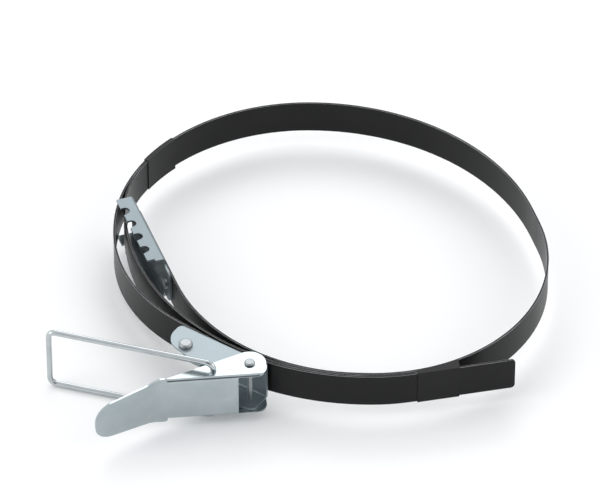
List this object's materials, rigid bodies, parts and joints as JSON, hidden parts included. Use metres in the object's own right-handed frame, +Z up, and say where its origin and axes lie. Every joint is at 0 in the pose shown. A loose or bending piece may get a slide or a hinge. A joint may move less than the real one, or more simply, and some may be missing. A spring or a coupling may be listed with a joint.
{
  "type": "quick-release band clamp",
  "caption": "Steel band clamp with a toggle lever, a wire bail and a notched catch rack, lying open with its strips relaxed into a coil.",
  "frame": {"origin": "centre of the gripping arc of the innermost turn, at half the band's height", "axes": "+Z up along the axis of the band, +X to the right toward the free tongue's end, -Y to the front where the toggle sits"},
  "size_m": [0.3417, 0.3238, 0.05],
  "materials": {
    "band": "satin black",
    "keeper": "satin black",
    "zinc": "bright zinc plate",
    "rivet": "bright zinc plate",
    "wire": "drawn wire, zinc plate"
  },
  "bodies": {
    "band": {"main_band": "band", "bridge_strip": "band", "keeper_left": "keeper", "keeper_right": "keeper", "bracket": "zinc", "bracket_rivets": "rivet", "ear_stud": "rivet", "pivot_pin": "rivet", "rack": "zinc", "rack_rivets": "rivet"},
    "lever": {"lever": "zinc"},
    "bail": {"bail": "wire"}
  },
  "joints": [
    {"name": "lever_pivot", "type": "hinge", "parent": "band", "child": "lever", "pos_m": [-0.0827, -0.11594, 0], "axis": [0, 0, 1], "range_deg": [0, 125]},
    {"name": "bail_swing", "type": "hinge", "parent": "lever", "child": "bail", "pos_m": [-0.10691, -0.123, 0], "axis": [0, 0, 1], "range_deg": [-35, 75]}
  ]
}
